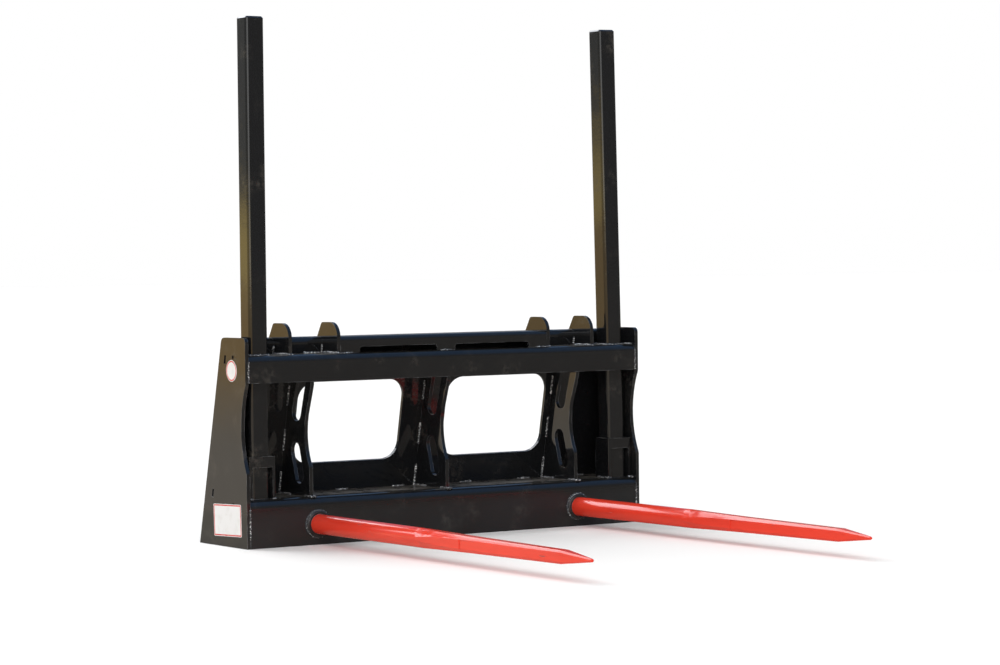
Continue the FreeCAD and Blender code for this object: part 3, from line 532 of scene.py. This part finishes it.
# %% Ears and cover
seams = Seams()
for name in ("ear_left_outer", "ear_left_inner", "ear_right_inner", "ear_right_outer"):
    low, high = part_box(name)
    for x in (low.x, high.x):
        seams.run((x, low.y + 0.003, beam_top), (x, beam_back - 0.001, beam_top))
        seams.run(on_plate(x, beam_top + 0.003), on_plate(x, crest - 0.006), size=STITCH_FILLET)
    seams.run((low.x, low.y, beam_top), (high.x, low.y, beam_top), size=STITCH_FILLET)
cover_low, cover_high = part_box("top_cover")
seams.stitches((cover_low.x, cover_low.y, beam_top), (cover_high.x, cover_low.y, beam_top), 0.03,
               (0.03, 0.5, 0.97), size=TACK)
grow("weld_beads_ears", bead, seams.mesh(), Seed=23)

# %% Posts, pockets and caps
seams = Seams()
for side, sign in SIDES:
    low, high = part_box(f"post_pocket_{side}")
    for x in (low.x, high.x):
        seams.run((x, low.y, shelf), (x, low.y + 0.045, shelf), size=STITCH_FILLET)
        inward = math.copysign(0.007, (low.x + high.x) / 2 - x)
        seams.run((x, low.y, shelf), (x + inward, low.y, shelf), size=STITCH_FILLET)
    foot_low, foot_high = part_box(f"post_{side}")
    half = (foot_high.y - foot_low.y) / 2
    foot = high.x - (high.x - low.x) / 2
    middle = foot - sign * math.tan(POST_LEAN[side]) * (beam_top - shelf)
    y = (foot_low.y + foot_high.y) / 2
    corners = [(middle + a * (half + 0.001), y + b * (half + 0.001), beam_top)
               for a, b in ((-1, -1), (1, -1), (1, 1), (-1, 1))]
    seams.run(*corners, size=0.0032, closed=True)
grow("weld_beads_posts", bead, seams.mesh(), Seed=31)

# %% Spear bushings
RING_POINTS = 28
seams = Seams()
web_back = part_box("lower_web")[1].y
bush_low, bush_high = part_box("spear_bushings")
bush_radius = (bush_high.z - bush_low.z) / 2
bush_z = (bush_high.z + bush_low.z) / 2
for side, sign in SIDES:
    spear_low, spear_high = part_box(f"spear_{side}")
    x = (spear_low.x + spear_high.x) / 2
    for y, size in ((front, 0.0042), (web_back, 0.0042)):
        turns = [math.tau * i / RING_POINTS for i in range(RING_POINTS)]
        ring = [(x + bush_radius * math.cos(t), y, bush_z + bush_radius * math.sin(t)) for t in turns]
        seams.run(*ring, size=size, closed=True)
grow("weld_beads_bushings", bead_tree(ring_paint), seams.mesh(), Seed=47)

# %% [markdown]
# ## Spatter
#
# An arc throws small drops of metal that stick round the weld and get painted over. Drops are scattered on
# narrow strips of surface beside the seams, thickest close to them. Each drop is a tiny flattened ball.

# %% A tree that scatters drops
def spatter_tree(material):
    numbers = {"Drops per square metre": 9000.0, "Smallest": 0.0003, "Largest": 0.0011, "Seed": 2}
    tree, (strips, density, smallest, largest, seed) = new_tree("spatter", numbers)
    scattered = strips.node("GeometryNodeDistributePointsOnFaces", {"distribute_method": "RANDOM"},
                            {"Mesh": strips, "Density": density, "Seed": seed})
    turned = Socket(tree, scattered.source.node.outputs["Rotation"])
    drop = strips.node("GeometryNodeMeshIcoSphere", None, {"Radius": 1.0, "Subdivisions": 1})
    chance = strips.node("FunctionNodeRandomValue", {"data_type": "FLOAT"},
                         {2: 0.0, 3: 1.0, "Seed": seed + 1}, 1)
    size = smallest + (largest - smallest) * chance * chance * chance
    flat = size.node("ShaderNodeCombineXYZ", None, {0: size, 1: size, 2: size * 0.7})
    copies = scattered.node("GeometryNodeInstanceOnPoints", None,
                            {"Points": scattered, "Instance": drop, "Rotation": turned, "Scale": flat})
    end_tree(copies, material)
    return tree


def strip(points, faces, corner, along, across):
    """Add one four-cornered patch, wound so that it faces along x across."""
    first = len(points)
    corner, along, across = Vector(corner), Vector(along), Vector(across)
    points += [tuple(corner + a * along + b * across) for a, b in ((0, 0), (1, 0), (1, 1), (0, 1))]
    faces.append(tuple(range(first, first + 4)))


# %% Spatter round the feet of the gussets and the ears
# Spatter gets more pale specks: bare metal and painted glints.
spatter_glint_paint = weld_finish("paint over spatter", bare_glint_share=0.2)
points, faces = [], []
lean = Vector((0, -math.tan(PLATE_TILT), 1))
for name in ("gusset_left", "gusset_middle", "gusset_right"):
    low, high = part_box(name)
    for near, side in ((low.x, -1), (high.x, 1)):
        for reach in (0.008, 0.016, 0.03, 0.055):
            strip(points, faces, (near, gusset_foot, shelf), (side * reach, 0, 0), (0, side * -reach, 0))
            strip(points, faces, (near, gusset_foot, shelf), (side * reach * 0.7, 0, 0), side * lean * reach)
for name in ("ear_left_outer", "ear_left_inner", "ear_right_inner", "ear_right_outer"):
    low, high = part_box(name)
    for near, side in ((low.x, -1), (high.x, 1)):
        for reach in (0.01, 0.02, 0.035):
            back = (near, beam_back - 0.012, beam_top)
            strip(points, faces, back, (side * reach, 0, 0), (0, side * -1.3 * reach, 0))
patches = bpy.data.meshes.new("patches")
patches.from_pydata(points, [], faces)
grow("spatter", spatter_tree(spatter_glint_paint), patches, Seed=2)

# %% [markdown]
# ## Plain stickers
#
# The left side plate carries two printed vinyl labels, a small disc near the top and a larger label near
# the foot. Here both are left blank, as plain white vinyl with a thin printed border. Each is a thin solid
# with its own rounded outline, so its edge catches the light as film does.

# %% Stickers
FILM, BORDER_IN, BORDER_WIDE = 0.00035, 0.0014, 0.0034
DISC = {"y": 0.5227, "z": 0.4276, "radius": 0.026}
LABEL = {"y": 0.5518, "z": 0.0644, "length": 0.138, "height": 0.0785, "corner": 0.004, "turn": math.radians(-2.1)}
VINYL, BORDER, GRIME = (0.80, 0.79, 0.78, 1), (0.66, 0.08, 0.08, 1), (0.50, 0.46, 0.40, 1)


def vinyl(name, colour, gloss):
    material, shader, place = new_material(name)
    grime = noise(place, 0.02, 6).rise(0.45, 0.75)
    plug(shader, "Base Color", (0.2 * grime).choose(colour, GRIME))
    plug(shader, "Roughness", gloss + 0.2 * grime)
    plug(shader, "Normal", bump(place, [(noise(place, 0.012, 2), 0.00008)]))
    return material


def label_outline(length, height, corner, inset=0.0):
    """Corners of a rounded rectangle about the origin, anticlockwise."""
    half_l, half_h, radius = length / 2 - inset, height / 2 - inset, max(corner - inset, 0.0004)
    outline = []
    for quarter, (a, b) in enumerate(((1, 1), (-1, 1), (-1, -1), (1, -1))):
        for step in range(7):
            turn = math.pi / 2 * (quarter + step / 6)
            outline.append((a * (half_l - radius) + radius * math.cos(turn),
                            b * (half_h - radius) + radius * math.sin(turn)))
    return outline


def disc_outline(radius, inset=0.0):
    turns = [math.tau * i / 48 for i in range(48)]
    return [((radius - inset) * math.cos(t), (radius - inset) * math.sin(t)) for t in turns]


def sticker(name, outline, centre, turn):
    """White film with a border line, built from four nested outlines that share their points."""
    rings = [outline(0.0), outline(0.0002), outline(BORDER_IN), outline(BORDER_IN + BORDER_WIDE)]
    lift = [0.0, FILM, FILM, FILM]
    points = []
    for ring, height in zip(rings, lift):
        for u, v in ring:
            y = u * math.cos(turn) + v * math.sin(turn)
            z = v * math.cos(turn) - u * math.sin(turn)
            points.append((-outer_x - height, centre[0] - y, centre[1] + z))
    count = len(rings[0])
    faces = [(r * count + i, r * count + (i + 1) % count, (r + 1) * count + (i + 1) % count, (r + 1) * count + i)
             for r in range(3) for i in range(count)]
    faces.append(tuple(3 * count + i for i in range(count)))
    faces.append(tuple(reversed(range(count))))
    mesh = bpy.data.meshes.new(name)
    mesh.from_pydata(points, [], faces)
    for finish in (white_vinyl, border_ink):
        mesh.materials.append(finish)
    for face in mesh.polygons:
        face.material_index = 1 if 2 * count <= face.index < 3 * count else 0
    return add_piece(name, mesh)


white_vinyl = vinyl("white vinyl", VINYL, 0.28)
border_ink = vinyl("border ink", BORDER, 0.25)
sticker("sticker_disc", lambda inset: disc_outline(DISC["radius"], inset), (DISC["y"], DISC["z"]), 0)
sticker("sticker_label", lambda inset: label_outline(LABEL["length"], LABEL["height"], LABEL["corner"], inset),
        (LABEL["y"], LABEL["z"]), LABEL["turn"])

# %% [markdown]
# ## The studio
#
# Glossy black paint has almost no colour of its own, so what it mirrors makes the picture. A plain white
# room would turn every face the same grey. Here the world is white to the camera, and mirrored rays see
# the same pale room with its own tints: a warm band at the horizon on the left, blue overhead and a dim
# front. The floor does the same, by where on it a mirrored ray lands. The strengths stay plain: the world
# lights evenly from all sides, a high soft sun from behind gives the shadow, and a low one fills the front.

# %% World
ROOM_WARM = (1.9, 1.42, 0.52, 1)
ROOM_LEFT = (0.36, 0.36, 0.34, 1)
ROOM_FRONT = (0.22, 0.21, 0.20, 1)
ROOM_ABOVE = (0.15, 0.31, 0.60, 1)
AMBIENT = 0.36

world = bpy.data.worlds.new("pale room")
world.use_nodes = True
bpy.context.scene.world = world
bpy.context.scene.view_settings.view_transform = "Standard"
background = world.node_tree.nodes["Background"]
direction = Socket(world.node_tree).node("ShaderNodeTexCoord", output=0)
across, along, above = parts_of(direction)
from_left = (0 - across).rise(-0.1, 0.5)
horizon = 1 - above.rise(0.004, 0.03)
overhead = above.rise(0.12, 0.6)
left = horizon.choose(ROOM_LEFT, ROOM_WARM)
room = overhead.choose(from_left.choose(ROOM_FRONT, left), ROOM_ABOVE)
camera_ray, diffuse_ray = (direction.node("ShaderNodeLightPath", output=i) for i in (0, 2))
seen = camera_ray.choose(diffuse_ray.choose(room, (AMBIENT, AMBIENT, AMBIENT, 1)), (1, 1, 1, 1))
world.node_tree.links.new(seen.source, background.inputs["Color"])
print("ambient", AMBIENT)

# %% Two soft suns and a small one for glints
HIGH_SUN = {"energy": 2.5, "spread": 50, "elevation": 42, "azimuth": 104}
LOW_SUN = {"energy": 1.45, "spread": 60, "elevation": 22, "azimuth": 235}
GLINT_SUN = {"energy": 0.2, "spread": 4, "elevation": 42, "azimuth": 222}


def add_sun(name, energy, spread, elevation, azimuth):
    """A soft sun whose light comes from an elevation and an azimuth, both in degrees; +X is azimuth 0."""
    sun = bpy.data.lights.new(name, "SUN")
    sun.energy, sun.angle = energy, math.radians(spread)
    lamp = bpy.data.objects.new(name, sun)
    lamp.rotation_euler = (0, math.radians(90 - elevation), math.radians(azimuth))
    bpy.context.scene.collection.objects.link(lamp)
    return energy * math.sin(math.radians(elevation)) / math.pi


level = AMBIENT + add_sun("high sun", **HIGH_SUN) + add_sun("low sun", **LOW_SUN)
level += add_sun("glint sun", **GLINT_SUN)
print(f"a level white sheet in the open would render at {level:.2f}")

# %% Floor
FLOOR_SIZE = 120
FLOOR_WHITE, FLOOR_LIFT = (0.93, 0.93, 0.93, 1), 0.06
FLOOR_FAR, FLOOR_NEAR, FLOOR_DIM = (1.0, 0.68, 0.30, 1), (0.74, 0.66, 0.55, 1), (0.26, 0.24, 0.215, 1)


def flat_mesh(name, corners):
    mesh = bpy.data.meshes.new(name)
    mesh.from_pydata(corners, [], [tuple(range(len(corners)))])
    sheet = bpy.data.objects.new(name, mesh)
    bpy.context.scene.collection.objects.link(sheet)
    return sheet


half = FLOOR_SIZE / 2
floor = flat_mesh("floor", [(-half, -half, 0), (half, -half, 0), (half, half, 0), (-half, half, 0)])
floor_material, floor_shader, floor_place = new_material("pale floor")
camera_ray, glossy_ray, clear_ray = (floor_place.node("ShaderNodeLightPath", output=i) for i in (0, 3, 6))
x, y, _ = parts_of(floor_place)
far = floor_place.node("ShaderNodeVectorMath", {"operation": "LENGTH"}, {0: floor_place}, 1).rise(3.5, 14)
on_left = (0 - x).rise(-0.2, 0.9)
tint = on_left.choose(FLOOR_DIM, far.choose(FLOOR_NEAR, FLOOR_FAR))
floor_colour = glossy_ray.choose(FLOOR_WHITE, tint)
plug(floor_shader, "Base Color", floor_colour)
plug(floor_shader, "Emission Color", floor_colour)
plug(floor_shader, "Emission Strength", FLOOR_LIFT * (camera_ray + glossy_ray + clear_ray))
floor_shader.inputs["Roughness"].default_value = 0.9
floor_shader.inputs["Specular IOR Level"].default_value = 0.0
floor.data.materials.append(floor_material)
print("floor laid")
